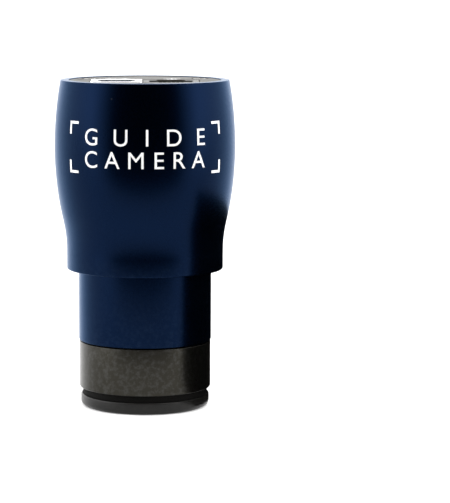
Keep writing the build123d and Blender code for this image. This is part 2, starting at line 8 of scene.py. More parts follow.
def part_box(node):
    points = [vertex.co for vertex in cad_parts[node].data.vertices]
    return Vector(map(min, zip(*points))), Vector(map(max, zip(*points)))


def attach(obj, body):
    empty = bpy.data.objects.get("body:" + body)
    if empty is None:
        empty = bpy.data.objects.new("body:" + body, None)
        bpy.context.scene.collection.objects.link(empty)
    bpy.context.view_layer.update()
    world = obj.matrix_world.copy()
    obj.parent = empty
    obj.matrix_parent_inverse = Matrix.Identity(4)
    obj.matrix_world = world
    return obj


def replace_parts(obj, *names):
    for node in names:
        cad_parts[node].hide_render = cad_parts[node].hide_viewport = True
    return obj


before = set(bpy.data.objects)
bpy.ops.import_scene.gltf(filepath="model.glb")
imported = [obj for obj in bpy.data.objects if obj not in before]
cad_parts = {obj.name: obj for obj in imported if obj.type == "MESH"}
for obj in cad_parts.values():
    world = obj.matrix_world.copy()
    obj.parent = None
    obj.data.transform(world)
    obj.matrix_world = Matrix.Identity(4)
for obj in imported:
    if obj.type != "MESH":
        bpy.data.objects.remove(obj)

# The camera stands on its nose at the origin, with +Z along its optical axis and the print on the -Y side.
# Lengths are in millimetres, and each mesh is scaled to metres when it is finished.
mm = 0.001
quarter = math.pi / 2
sharpAngle = math.radians(34)
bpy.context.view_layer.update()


def span(node):
    low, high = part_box(node)
    return low / mm, high / mm


def middle(node):
    low, high = span(node)
    return (low + high) / 2


# Shaping tools
def edgeLayer(mesh):
    # how much a point lies on a rubbed edge
    return mesh.verts.layers.float.get("edge") or mesh.verts.layers.float.new("edge")


def softCorners(points, arcSteps=5):
    # (r, z) or (r, z, rounding) points become (r, z, edge) ones, each rounding as an arc
    shaped = []
    for index, point in enumerate(points):
        if len(point) < 3:
            shaped.append((point[0], point[1], 0.0))
            continue
        corner = Vector(point[:2])
        before = (Vector(points[index - 1][:2]) - corner).normalized()
        after = (Vector(points[(index + 1) % len(points)][:2]) - corner).normalized()
        half = before.angle(after) / 2
        run = point[2] / math.tan(half)
        centre = corner + (before + after).normalized() * point[2] / math.sin(half)
        start = corner + before * run - centre
        end = corner + after * run - centre
        for step in range(arcSteps + 1):
            share = step / arcSteps
            spoke = start.lerp(end, share).normalized() * point[2]
            shaped.append((*(centre + spoke), 1.0))
    return shaped


def threadRows(radius, depth, pitch, start, end, rowsPerTurn=8):
    # rows of a right-hand V thread; the depth fades out over half a turn at each end
    count = max(2, round(abs(end - start) / pitch * rowsPerTurn))
    rows = []
    for index in range(count + 1):
        height = start + (end - start) * index / count
        fade = min(1.0, 2 * min(index, count - index) / rowsPerTurn)

        def size(turn, height=height, fade=fade):
            phase = (height / pitch - turn) % 1.0
            return radius - depth * fade * (1 - abs(2 * phase - 1))

        rows.append((size, height, 0.0))
    return rows


def addSpun(mesh, profile, centre=(0.0, 0.0), steps=144):
    # turns a closed profile about an upright line; a radius may be a function of the turn
    edgeMark = edgeLayer(mesh)
    rings = []
    for radius, height, edge in profile:
        onAxis = not callable(radius) and radius < 1e-6
        ring = []
        for step in range(1 if onAxis else steps):
            angle = 2 * math.pi * step / steps
            size = radius(step / steps) if callable(radius) else radius
            place = (centre[0] + size * math.cos(angle), centre[1] + size * math.sin(angle), height)
            vert = mesh.verts.new(place)
            vert[edgeMark] = edge
            ring.append(vert)
        rings.append(ring)
    for ring, following in zip(rings, rings[1:] + rings[:1]):
        if len(ring) + len(following) == 2:
            continue
        for step in range(steps):
            corners = [ring[step % len(ring)], ring[(step + 1) % steps % len(ring)]]
            corners += [following[(step + 1) % steps % len(following)], following[step % len(following)]]
            mesh.faces.new(list(dict.fromkeys(corners)))


def inset(outline, distance):
    # moves an outline to its left, which is towards the material on every outline here
    moved = []
    for index, point in enumerate(outline):
        here = Vector(point)
        arriving = (here - Vector(outline[index - 1])).normalized()
        leaving = (Vector(outline[(index + 1) % len(outline)]) - here).normalized()
        first = Vector((-arriving.y, arriving.x))
        second = Vector((-leaving.y, leaving.x))
        moved.append(tuple(here + (first + second) * distance / (1 + first.dot(second))))
    return moved


def edgeRings(outline, height, rounding, top, steps=3):
    # rings of one rounded rim, from the wall towards the cap
    rings = []
    for step in range(steps + 1):
        angle = quarter * step / steps
        drop = rounding * (1 - math.sin(angle))
        level = height - drop if top else height + drop
        rings.append((inset(outline, rounding * (1 - math.cos(angle))), level, 1.0))
    return rings


def addWall(mesh, rings):
    edgeMark = edgeLayer(mesh)
    made = []
    for outline, height, edge in rings:
        ring = [mesh.verts.new((x, y, height)) for x, y in outline]
        for vert in ring:
            vert[edgeMark] = edge
        made.append(ring)
    for lower, upper in zip(made, made[1:]):
        for index in range(len(lower)):
            mesh.faces.new((lower[index - 1], lower[index], upper[index], upper[index - 1]))
    return made[0], made[-1]


def addCap(mesh, rings):
    edges = []
    for ring in rings:
        for first, second in zip(ring, ring[1:] + ring[:1]):
            edges.append(mesh.edges.get((first, second)) or mesh.edges.new((first, second)))
    bmesh.ops.triangle_fill(mesh, edges=edges, use_beauty=True, use_dissolve=False)


def addPlate(mesh, outer, holes, low, high, rounding):
    # outer and holes are outlines, or lists of (outline, z, edge) rings that run from bottom to top
    bottoms, tops = [], []
    for outline in [outer, *holes]:
        rings = outline
        if len(outline[0]) == 2:
            rings = edgeRings(outline, low, rounding, False)[::-1] + edgeRings(outline, high, rounding, True)
        bottom, top = addWall(mesh, rings)
        bottoms.append(bottom)
        tops.append(top)
    addCap(mesh, bottoms)
    addCap(mesh, tops)


def circle(radius, centre=(0.0, 0.0), steps=64, hole=False):
    turn = -2 * math.pi / steps if hole else 2 * math.pi / steps
    return [
        (centre[0] + radius * math.cos(turn * step), centre[1] + radius * math.sin(turn * step))
        for step in range(steps)
    ]


def box2d(width, depth, centre=(0.0, 0.0), rounding=0.0, hole=False, steps=5):
    corners = []
    for index, (sideX, sideY) in enumerate([(1, 1), (-1, 1), (-1, -1), (1, -1)]):
        x = centre[0] + sideX * (width / 2 - rounding)
        y = centre[1] + sideY * (depth / 2 - rounding)
        if rounding == 0:
            corners.append((x, y))
            continue
        for step in range(steps + 1):
            angle = quarter * (index + step / steps)
            corners.append((x + rounding * math.cos(angle), y + rounding * math.sin(angle)))
    return corners[::-1] if hole else corners


def addWire(mesh, path, radius, sides=12):
    # a round wire along (y, z) points at x = 0, with flat ends
    rings = []
    for index, point in enumerate(path):
        here = Vector(point)
        ahead = Vector(path[min(index + 1, len(path) - 1)]) - Vector(path[max(index - 1, 0)])
        side = Vector((-ahead.y, ahead.x)).normalized()
        ring = []
        for step in range(sides):
            angle = 2 * math.pi * step / sides
            off = here + side * radius * math.sin(angle)
            ring.append(mesh.verts.new((radius * math.cos(angle), off.x, off.y)))
        rings.append(ring)
    for ring, following in zip(rings, rings[1:]):
        for step in range(sides):
            mesh.faces.new((ring[step - 1], ring[step], following[step], following[step - 1]))
    mesh.faces.new(rings[0])
    mesh.faces.new(rings[-1])


def inPorts(u, v):
    # port axes have u towards -X and v towards -Y
    return Matrix.Translation((-u, -v, 0)) @ Matrix.Rotation(math.pi, 4, "Z")


def addToScene(mesh, name, material):
    data = bpy.data.meshes.new(name)
    mesh.to_mesh(data)
    mesh.free()
    data.materials.append(material)
    thing = bpy.data.objects.new(name, data)
    bpy.context.scene.collection.objects.link(thing)
    return thing


def finishPiece(mesh, name, body, material, place=None):
    bmesh.ops.recalc_face_normals(mesh, faces=mesh.faces)
    if place is not None:
        mesh.transform(place)
    mesh.transform(Matrix.Scale(mm, 4))
    piece = addToScene(mesh, name, material)
    piece.data.shade_smooth()
    piece.data.set_sharp_from_angle(angle=sharpAngle)
    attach(piece, body)
    return piece


def paintRing(piece, material, heights, radii, centre=(0.0, 0.0)):
    # gives the faces between two heights and two radii their own finish
    data = piece.data
    data.materials.append(material)
    for face in data.polygons:
        x, y, z = face.center / mm
        reach = math.hypot(x - centre[0], y - centre[1])
        if heights[0] < z < heights[1] and radii[0] < reach < radii[1]:
            face.material_index = len(data.materials) - 1


def spin(name, profile, body, material, centre=(0.0, 0.0), steps=144):
    mesh = bmesh.new()
    addSpun(mesh, profile, centre, steps)
    return finishPiece(mesh, name, body, material)


# Effects that several finishes share
def newGroup(name, inputs, outputs):
    group = bpy.data.node_groups.new(name, "ShaderNodeTree")
    for label, kind, value in inputs:
        socket = group.interface.new_socket(name=label, in_out="INPUT", socket_type=kind)
        socket.default_value = value
    for label, kind in outputs:
        group.interface.new_socket(name=label, in_out="OUTPUT", socket_type=kind)
    return group, group.nodes.new("NodeGroupInput"), group.nodes.new("NodeGroupOutput")


def addNode(tree, kind, links=None, **settings):
    # links maps an input's name or number to a value or to another node's socket
    node = tree.nodes.new(kind)
    for key, value in settings.items():
        setattr(node, key, value)
    for key, value in (links or {}).items():
        if isinstance(value, bpy.types.NodeSocket):
            tree.links.new(value, node.inputs[key])
        else:
            node.inputs[key].default_value = value
    return node


def remap(tree, value, low, high, newLow, newHigh):
    settings = {"Value": value, "From Min": low, "From Max": high, "To Min": newLow, "To Max": newHigh}
    return addNode(tree, "ShaderNodeMapRange", settings).outputs["Result"]


def calculate(tree, operation, first, second):
    return addNode(tree, "ShaderNodeMath", {0: first, 1: second}, operation=operation).outputs[0]


def objectPlace(tree):
    return addNode(tree, "ShaderNodeTexCoord").outputs["Object"]


def newMaterial(name):
    material = bpy.data.materials.new(name)
    material.use_nodes = True
    tree = material.node_tree
    return material, tree, tree.nodes["Principled BSDF"]


def makeGrain():
    group, given, result = newGroup(
        "fineGrain",
        [
            ("Scale", "NodeSocketFloat", 5000.0), ("Stretch", "NodeSocketVector", (1, 1, 1)),
            ("Rough Low", "NodeSocketFloat", 0.3), ("Rough High", "NodeSocketFloat", 0.4),
        ],
        [("Height", "NodeSocketFloat"), ("Roughness", "NodeSocketFloat")],
    )
    stretch = {0: objectPlace(group), 1: given.outputs["Stretch"]}
    stretched = addNode(group, "ShaderNodeVectorMath", stretch, operation="MULTIPLY")
    links = {"Vector": stretched.outputs[0], "Scale": given.outputs["Scale"], "Detail": 3.0, "Roughness": 0.6}
    noise = addNode(group, "ShaderNodeTexNoise", links)
    group.links.new(noise.outputs["Fac"], result.inputs["Height"])
    roughLow, roughHigh = given.outputs["Rough Low"], given.outputs["Rough High"]
    rough = remap(group, noise.outputs["Fac"], 0.3, 0.7, roughLow, roughHigh)
    group.links.new(rough, result.inputs["Roughness"])
    return group


def makeHandling():
    group, given, result = newGroup(
        "handlingMarks",
        [("Scale", "NodeSocketFloat", 60.0), ("Amount", "NodeSocketFloat", 0.5)],
        [("Mask", "NodeSocketFloat")],
    )
    links = {"Vector": objectPlace(group), "Scale": given.outputs["Scale"], "Detail": 4.0, "Distortion": 0.6}
    noise = addNode(group, "ShaderNodeTexNoise", links)
    patch = remap(group, noise.outputs["Fac"], 0.42, 0.68, 0.0, 1.0)
    mask = calculate(group, "MULTIPLY", patch, given.outputs["Amount"])
    group.links.new(mask, result.inputs["Mask"])
    return group


def makeWear():
    group, given, result = newGroup(
        "edgeWear",
        [("Scale", "NodeSocketFloat", 900.0), ("Amount", "NodeSocketFloat", 0.5)],
        [("Mask", "NodeSocketFloat")],
    )
    edge = addNode(group, "ShaderNodeAttribute", attribute_name="edge").outputs["Fac"]
    links = {"Vector": objectPlace(group), "Scale": given.outputs["Scale"], "Detail": 5.0, "Roughness": 0.7}
    noise = addNode(group, "ShaderNodeTexNoise", links)
    broken = remap(group, noise.outputs["Fac"], 0.46, 0.62, 0.0, 1.0)
    rubbed = calculate(group, "MULTIPLY", edge, broken)
    mask = calculate(group, "MULTIPLY", rubbed, given.outputs["Amount"])
    group.links.new(mask, result.inputs["Mask"])
    return group


def makeDust():
    group, given, result = newGroup(
        "dustSpecks",
        [("Scale", "NodeSocketFloat", 700.0), ("Amount", "NodeSocketFloat", 0.5)],
        [("Mask", "NodeSocketFloat")],
    )
    links = {"Vector": objectPlace(group), "Scale": given.outputs["Scale"]}
    cells = addNode(group, "ShaderNodeTexVoronoi", links)
    speck = remap(group, cells.outputs["Distance"], 0.05, 0.11, 1.0, 0.0)
    few = remap(group, cells.outputs["Color"], 0.86, 0.9, 0.0, 1.0)
    both = calculate(group, "MULTIPLY", speck, few)
    mask = calculate(group, "MULTIPLY", both, given.outputs["Amount"])
    group.links.new(mask, result.inputs["Mask"])
    return group


fineGrain, handlingMarks = makeGrain(), makeHandling()
edgeWear, dustSpecks = makeWear(), makeDust()
dustColour = (0.35, 0.34, 0.32)


def useGroup(tree, group, values):
    node = addNode(tree, "ShaderNodeGroup", node_tree=group)
    for key, value in values.items():
        node.inputs[key].default_value = value
    return node


def mixColours(tree, factor, first, second):
    # first and second are colours or sockets; a colour node has its sockets after those of the other kinds
    node = addNode(tree, "ShaderNodeMix", data_type="RGBA")
    tree.links.new(factor, node.inputs["Factor"])
    for label, value in (("A", first), ("B", second)):
        socket = next(s for s in node.inputs if s.name == label and s.type == "RGBA")
        if isinstance(value, bpy.types.NodeSocket):
            tree.links.new(value, socket)
        else:
            socket.default_value = (*value, 1.0)
    return next(s for s in node.outputs if s.type == "RGBA")


def makeFinish(name, look):
    # a solid finish: two near colours, grain in gloss and relief, patches from handling, rubbed edges, dust
    material, tree, shader = newMaterial(name)
    shader.inputs["Metallic"].default_value = look.get("metallic", 0.0)
    shader.inputs["Specular IOR Level"].default_value = look.get("specular", 0.5)
    shader.inputs["Specular Tint"].default_value = (*look.get("edgeTint", (1, 1, 1)), 1)
    shader.inputs["Coat Weight"].default_value = look.get("coat", 0.0)
    shader.inputs["Coat Roughness"].default_value = 0.2
    low, high = look["roughness"]
    grain = useGroup(tree, fineGrain, {
        "Scale": look.get("grainScale", 5000.0), "Stretch": look.get("stretch", (1, 1, 1)),
        "Rough Low": low, "Rough High": high,
    })
    marks = useGroup(tree, handlingMarks, {
        "Scale": look.get("patchScale", 60.0), "Amount": look.get("patches", 1.0),
    })
    colour = mixColours(tree, marks.outputs["Mask"], look["colour"], look["secondColour"])
    if "wear" in look:
        wear = useGroup(tree, edgeWear, {"Scale": 900.0, "Amount": look["wear"]})
        colour = mixColours(tree, wear.outputs["Mask"], colour, look["wornColour"])
    if "dust" in look:
        dust = useGroup(tree, dustSpecks, {"Scale": look.get("dustScale", 700.0), "Amount": look["dust"]})
        colour = mixColours(tree, dust.outputs["Mask"], colour, dustColour)
    tree.links.new(colour, shader.inputs["Base Color"])
    dulled = remap(tree, marks.outputs["Mask"], 0.0, 1.0, 0.0, look.get("dulling", 0.04))
    rough = calculate(tree, "ADD", grain.outputs["Roughness"], dulled)
    tree.links.new(rough, shader.inputs["Roughness"])
    bump = addNode(tree, "ShaderNodeBump", {
        "Strength": look["relief"], "Distance": look.get("reliefDepth", 0.00003),
        "Height": grain.outputs["Height"],
    })
    tree.links.new(bump.outputs["Normal"], shader.inputs["Normal"])
    return material


blueAnodising = makeFinish("blueAnodising", {
    "colour": (0.0010, 0.0056, 0.0203), "secondColour": (0.0009, 0.0052, 0.0190), "metallic": 1.0,
    "edgeTint": (0.62, 0.73, 0.93), "roughness": (0.26, 0.28), "dulling": 0.012, "grainScale": 7000.0,
    "relief": 0.05, "reliefDepth": 0.00002, "coat": 0.04, "wear": 0.12, "wornColour": (0.015, 0.03, 0.06),
    "dust": 0.1, "dustScale": 420.0,
})
blackAnodising = makeFinish("blackAnodising", {
    "colour": (0.0262, 0.0248, 0.0205), "secondColour": (0.0245, 0.0230, 0.0190), "metallic": 1.0,
    "roughness": (0.27, 0.30), "dulling": 0.006, "patches": 0.5, "grainScale": 4200.0, "stretch": (1, 1, 0.3),
    "relief": 0.08, "reliefDepth": 0.00002, "wear": 0.25, "wornColour": (0.08, 0.08, 0.08), "dust": 0.15,
})
capPlastic = makeFinish("capPlastic", {
    "colour": (0.0022, 0.0020, 0.0016), "secondColour": (0.0030, 0.0028, 0.0022),
    "specular": 0.25, "roughness": (0.26, 0.32), "grainScale": 4600.0, "relief": 0.18, "reliefDepth": 0.00002,
    "wear": 0.15, "wornColour": (0.02, 0.019, 0.016), "dust": 0.1,
})
# painted shade for the groove round the cap's neck: the same black plastic, dull and with little gloss
capGrooveShade = makeFinish("capGrooveShade", {
    "colour": (0.0022, 0.0021, 0.0018), "secondColour": (0.003, 0.0028, 0.0024),
    "specular": 0.06, "roughness": (0.6, 0.75), "grainScale": 4600.0, "relief": 0.3,
})
panelCoat = makeFinish("panelCoat", {
    "colour": (0.032, 0.030, 0.025), "secondColour": (0.029, 0.027, 0.023), "metallic": 0.6,
    "roughness": (0.48, 0.58), "dulling": 0.015, "patches": 0.5, "grainScale": 4200.0, "relief": 0.5,
    "reliefDepth": 0.00004, "wear": 0.3, "wornColour": (0.12, 0.12, 0.11), "dust": 0.3,
})
screwSteel = makeFinish("screwSteel", {
    "colour": (0.78, 0.77, 0.74), "secondColour": (0.66, 0.65, 0.62), "metallic": 1.0,
    "roughness": (0.16, 0.30), "grainScale": 3000.0, "patchScale": 400.0, "relief": 0.12,
})
# painted shade for the screws' hex sockets: dark, dull steel
socketShadeSteel = makeFinish("socketShadeSteel", {
    "colour": (0.070, 0.068, 0.064), "secondColour": (0.030, 0.029, 0.027), "metallic": 0.8,
    "roughness": (0.4, 0.6), "grainScale": 2600.0, "patchScale": 900.0, "relief": 0.4,
})
shellSteel = makeFinish("shellSteel", {
    "colour": (0.80, 0.80, 0.81), "secondColour": (0.70, 0.70, 0.72), "metallic": 1.0,
    "roughness": (0.14, 0.26), "grainScale": 2400.0, "stretch": (1, 1, 0.08), "patchScale": 300.0,
    "relief": 0.12,
})
jackPlastic = makeFinish("jackPlastic", {
    "colour": (0.016, 0.0155, 0.014), "secondColour": (0.013, 0.0125, 0.011),
    "roughness": (0.40, 0.52), "grainScale": 3600.0, "relief": 0.35,
    "wear": 0.2, "wornColour": (0.07, 0.07, 0.065),
})
bluePlastic = makeFinish("bluePlastic", {
    "colour": (0.026, 0.036, 0.072), "secondColour": (0.031, 0.042, 0.080),
    "roughness": (0.30, 0.42), "grainScale": 2600.0, "relief": 0.2,
    "wear": 0.2, "wornColour": (0.10, 0.13, 0.19),
})
goldPlate = makeFinish("goldPlate", {
    "colour": (0.92, 0.66, 0.28), "secondColour": (0.84, 0.58, 0.24), "metallic": 1.0,
    "roughness": (0.14, 0.24), "grainScale": 5000.0, "patchScale": 900.0, "relief": 0.1,
})
sealRubber = makeFinish("sealRubber", {
    "colour": (0.012, 0.012, 0.012), "secondColour": (0.017, 0.017, 0.016),
    "roughness": (0.5, 0.66), "grainScale": 2500.0, "relief": 0.35, "dust": 0.3,
})
nickelBrass = makeFinish("nickelBrass", {
    "colour": (0.74, 0.70, 0.60), "secondColour": (0.62, 0.58, 0.50), "metallic": 1.0,
    "roughness": (0.20, 0.34), "grainScale": 2200.0, "patchScale": 300.0, "relief": 0.15,
})
chipPlastic = makeFinish("chipPlastic", {
    "colour": (0.016, 0.016, 0.017), "secondColour": (0.024, 0.024, 0.024),
    "roughness": (0.48, 0.62), "grainScale": 4800.0, "patchScale": 260.0, "relief": 0.4,
})
sensorCeramic = makeFinish("sensorCeramic", {
    "colour": (0.055, 0.050, 0.046), "secondColour": (0.045, 0.042, 0.040),
    "roughness": (0.4, 0.5), "grainScale": 5000.0, "relief": 0.25,
})
foam = makeFinish("foam", {
    "colour": (0.012, 0.012, 0.013), "secondColour": (0.020, 0.020, 0.020),
    "roughness": (0.8, 0.95), "grainScale": 1600.0, "relief": 1.0, "reliefDepth": 0.0002,
})
ferrite = makeFinish("ferrite", {
    "colour": (0.040, 0.040, 0.043), "secondColour": (0.052, 0.052, 0.054),
    "roughness": (0.45, 0.6), "grainScale": 2600.0, "relief": 0.5,
})
tinCeramic = makeFinish("tinCeramic", {
    "colour": (0.26, 0.18, 0.11), "secondColour": (0.34, 0.25, 0.16),
    "roughness": (0.35, 0.5), "grainScale": 3000.0, "patchScale": 500.0, "relief": 0.2,
})
lampResin = makeFinish("lampResin", {
    "colour": (0.72, 0.70, 0.60), "secondColour": (0.62, 0.60, 0.50),
    "roughness": (0.3, 0.4), "grainScale": 3000.0, "relief": 0.1,
})
printInk = makeFinish("printInk", {
    "colour": (0.86, 0.86, 0.86), "secondColour": (0.76, 0.76, 0.77),
    "roughness": (0.42, 0.56), "grainScale": 5200.0, "patchScale": 700.0, "relief": 0.25,
})


def makeGlass(name, look):
    # clear or coated glass with faint smears in its gloss
    material, tree, shader = newMaterial(name)
    shader.inputs["Base Color"].default_value = (*look["colour"], 1.0)
    shader.inputs["Transmission Weight"].default_value = 1.0
    shader.inputs["IOR"].default_value = look["ior"]
    marks = useGroup(tree, handlingMarks, {"Scale": look["smearScale"], "Amount": 1.0})
    low, high = look["roughness"]
    tree.links.new(remap(tree, marks.outputs["Mask"], 0.0, 1.0, low, high), shader.inputs["Roughness"])
    return material


windowCoating = makeGlass("windowCoating", {
    "colour": (0.90, 0.97, 0.95), "ior": 1.5, "smearScale": 120.0, "roughness": (0.0, 0.04),
})
clearResin = makeGlass("clearResin", {
    "colour": (0.93, 0.95, 0.93), "ior": 1.49, "smearScale": 600.0, "roughness": (0.05, 0.14),
})


def makeBoardFinish():
    # green solder mask over tracks and small pads
    material, tree, shader = newMaterial("boardFinish")
    place = objectPlace(tree)
    tracks = addNode(tree, "ShaderNodeTexBrick", {
        "Vector": place, "Scale": 420.0, "Mortar Size": 0.06, "Brick Width": 0.9, "Row Height": 0.22,
        "Color1": (0.004, 0.055, 0.030, 1), "Color2": (0.005, 0.065, 0.034, 1),
        "Mortar": (0.010, 0.105, 0.050, 1),
    })
    pads = addNode(tree, "ShaderNodeTexVoronoi", {"Vector": place, "Scale": 700.0})
    padMask = remap(tree, pads.outputs["Distance"], 0.10, 0.14, 1.0, 0.0)
    some = remap(tree, pads.outputs["Color"], 0.78, 0.8, 0.0, 1.0)
    both = calculate(tree, "MULTIPLY", padMask, some)
    colour = mixColours(tree, both, tracks.outputs["Color"], (0.80, 0.62, 0.30))
    tree.links.new(colour, shader.inputs["Base Color"])
    tree.links.new(both, shader.inputs["Metallic"])
    grain = useGroup(tree, fineGrain, {"Scale": 2500.0, "Rough Low": 0.22, "Rough High": 0.36})
    tree.links.new(grain.outputs["Roughness"], shader.inputs["Roughness"])
    bump = addNode(tree, "ShaderNodeBump", {
        "Strength": 0.3, "Distance": 0.00003, "Height": tracks.outputs["Fac"],
    })
    tree.links.new(bump.outputs["Normal"], shader.inputs["Normal"])
    return material


def makeSilicon():
    # a sensor die: a fine grid of cells, with a painted sheen that drifts its tint towards teal across it
    material, tree, shader = newMaterial("siliconDie")
    shader.inputs["Metallic"].default_value = 1.0
    shader.inputs["Coat Weight"].default_value = 0.6
    cells = addNode(tree, "ShaderNodeTexBrick", {
        "Vector": objectPlace(tree), "Scale": 9000.0, "Mortar Size": 0.12,
        "Brick Width": 0.5, "Row Height": 0.5,
        "Color1": (0.10, 0.15, 0.26, 1), "Color2": (0.13, 0.12, 0.24, 1), "Mortar": (0.03, 0.035, 0.06, 1),
    }, offset=0.0)
    paintedSheen = useGroup(tree, handlingMarks, {"Scale": 160.0, "Amount": 0.8})
    colour = mixColours(tree, paintedSheen.outputs["Mask"], cells.outputs["Color"], (0.10, 0.26, 0.22))
    tree.links.new(colour, shader.inputs["Base Color"])
    tree.links.new(remap(tree, paintedSheen.outputs["Mask"], 0.0, 1.0, 0.12, 0.2), shader.inputs["Roughness"])
    return material


boardFinish, siliconDie = makeBoardFinish(), makeSilicon()
print("finishes made")

# Head: neck, an S curve out to the widest section, and a long arc in to the rear rim
headLow, headHigh = span("head_shell")
head = {
    "neckRadius": 18.65, "neckLength": 4.1, "bellyHeight": 29.0, "rimRadius": 20.05, "convexShare": 0.7,
    "pocketRadius": 18.1, "cavityRadius": 17.2, "floorThickness": 3.5, "barrelHole": 12.85,
    "rimRounding": 0.2, "neckRounding": 0.28, "innerRounding": 0.1, "rows": 72,
}
head["bottom"], head["top"], head["bellyRadius"] = headLow.z, headHigh.z, headHigh.x
head["floorTop"] = head["bottom"] + head["floorThickness"]
neckTop = head["bottom"] + head["neckLength"]
belly = head["bottom"] + head["bellyHeight"]
swell = head["bellyRadius"] - head["neckRadius"]
bothRadii = ((belly - neckTop) ** 2 + swell**2) / (2 * swell)
convexRadius = bothRadii * head["convexShare"]
concaveRadius = bothRadii - convexRadius
sTurn = math.asin((belly - neckTop) / bothRadii)
rearDrop = head["bellyRadius"] - head["rimRadius"]
rearRadius = ((head["top"] - belly) ** 2 + rearDrop**2) / (2 * rearDrop)


def bulge(radius, along):
    # how far an arc leaves its tangent, at a distance along it
    return radius * (1 - math.cos(math.asin(along / radius)))


def headRadius(height):
    # radius of the outside at a height
    if height < neckTop:
        return head["neckRadius"]
    change = neckTop + concaveRadius * math.sin(sTurn)
    if height < change:
        return head["neckRadius"] + bulge(concaveRadius, height - neckTop)
    return head["bellyRadius"] - bulge(convexRadius if height < belly else rearRadius, height - belly)


def makeHeadShell():
    panelUnder = span("rear_panel")[0].z
    outside = [(head["neckRadius"], head["bottom"], head["neckRounding"])]
    for row in range(head["rows"]):
        height = neckTop + (head["top"] - neckTop) * row / head["rows"]
        outside.append((headRadius(height), height))
    inside = [
        (head["rimRadius"], head["top"], head["rimRounding"]),
        (head["pocketRadius"], head["top"], head["innerRounding"]),
        (head["pocketRadius"], panelUnder),
        (head["cavityRadius"], panelUnder),
        (head["cavityRadius"], head["floorTop"]),
        (head["barrelHole"], head["floorTop"]),
        (head["barrelHole"], head["bottom"]),
    ]
    profile = softCorners(outside + inside, 6)
    shell = spin("headShell", profile, "camera", blueAnodising, steps=192)
    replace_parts(shell, "head_shell")


# Barrel, 1.25 inch, with the nosepiece's thread and the baffles inside
barrelLow, barrelHigh = span("barrel")
barrel = {
    "spigotRadius": 12.8, "rounding": 0.25, "mouthRadius": 14.73, "mouthDepth": 0.8,
    "threadRadius": 14.0, "threadDepth": 0.3, "threadPitch": 0.75, "baffleRadius": 12.5, "bafflePitch": 1.0,
    "baffleDepth": 0.35, "chamberRadius": 11.6, "apertureRadius": 10.5, "seatThickness": 1.0,
    "innerRounding": 0.1, "threadRoom": 0.5, "threadStop": 0.05, "seamDepth": 0.25, "seamHeight": 0.05,
}


def makeBarrel():
    bottom, top = barrelLow.z, barrelHigh.z
    radius = barrelHigh.x
    shoulder = head["bottom"]
    seatTop = span("window_seal")[0].z
    seatBottom = seatTop - barrel["seatThickness"]
    threadEnd = span("nosepiece")[1].z + barrel["threadRoom"]
    seamRadius, seamBottom = radius - barrel["seamDepth"], shoulder - barrel["seamHeight"]
    mouthTop = bottom + barrel["mouthDepth"]
    profile = softCorners([
        (barrel["mouthRadius"], bottom),
        (radius, bottom, barrel["rounding"]),
        (radius, seamBottom),
        (seamRadius, seamBottom),
        (seamRadius, shoulder),
        (barrel["spigotRadius"], shoulder),
        (barrel["spigotRadius"], top, barrel["innerRounding"]),
        (barrel["chamberRadius"], top),
        (barrel["chamberRadius"], seatTop),
        (barrel["apertureRadius"], seatTop, barrel["innerRounding"]),
        (barrel["apertureRadius"], seatBottom),
        (barrel["baffleRadius"], seatBottom),
    ])
    ridge = seatBottom
    while ridge - barrel["bafflePitch"] > threadEnd:
        for share, depth in ((0.1, 0), (0.5, barrel["baffleDepth"]), (0.9, 0)):
            profile.append((barrel["baffleRadius"] + depth, ridge - barrel["bafflePitch"] * share, 0.0))
        ridge -= barrel["bafflePitch"]
    profile += [(barrel["baffleRadius"], threadEnd, 0.0), (barrel["threadRadius"], threadEnd, 0.0)]
    threadTop = threadEnd - barrel["threadStop"]
    threadSize = (barrel["threadRadius"], -barrel["threadDepth"], barrel["threadPitch"])
    profile += threadRows(*threadSize, threadTop, mouthTop)
    profile.append((barrel["mouthRadius"], mouthTop, 0.0))
    tube = spin("barrelTube", profile, "camera", blueAnodising, steps=160)
    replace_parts(tube, "barrel")


# Nosepiece, with the filter thread in its mouth
nose = {
    "rounding": 0.3, "rootRadius": 13.6, "rootLength": 1.0, "threadRadius": 13.95, "threadDepth": 0.3,
    "threadPitch": 0.75, "boreRadius": 12.6, "filterRadius": 13.95, "filterDepth": 0.27, "filterPitch": 0.6,
    "filterLength": 4.5, "filterStart": 0.2, "length": 11.1,
}


def makeNosepiece():
    low, high = span("nosepiece")
    shoulder = low.z + nose["length"]
    threadStart = shoulder + nose["rootLength"]
    filterEnd = low.z + nose["filterLength"]
    profile = softCorners([
        (nose["filterRadius"], low.z),
        (high.x, low.z, nose["rounding"]),
        (high.x, shoulder, nose["rounding"] / 2),
        (nose["rootRadius"], shoulder),
        (nose["rootRadius"], threadStart),
    ])
    threadSize = (nose["threadRadius"], nose["threadDepth"], nose["threadPitch"])
    profile += threadRows(*threadSize, threadStart, high.z)
    profile += [(nose["boreRadius"], high.z, 0.0), (nose["boreRadius"], filterEnd, 0.0)]
    filterSize = (nose["filterRadius"], -nose["filterDepth"], nose["filterPitch"])
    profile += threadRows(*filterSize, filterEnd, low.z + nose["filterStart"])
    sleeve = spin("nosepieceSleeve", profile, "nosepiece", blackAnodising, steps=160)
    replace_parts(sleeve, "nosepiece")


# Dust cap
cap = {
    "flangeHeight": 2.9, "flangeRounding": 0.3, "neckHeight": 1.65, "neckRadius": 14.9, "neckRounding": 0.08,
    "spigotRadius": 13.87, "spigotRounding": 0.4, "wall": 1.2, "mouthRounding": 0.3, "floor": 1.6,
    "floorRounding": 0.6, "footWidth": 3.0, "footHeight": 0.5, "footRounding": 1.2, "footInnerRounding": 0.2,
    "gateRadius": 0.9, "gateDepth": 0.12, "gateRounding": 0.05, "grooveMargin": 0.1,
}


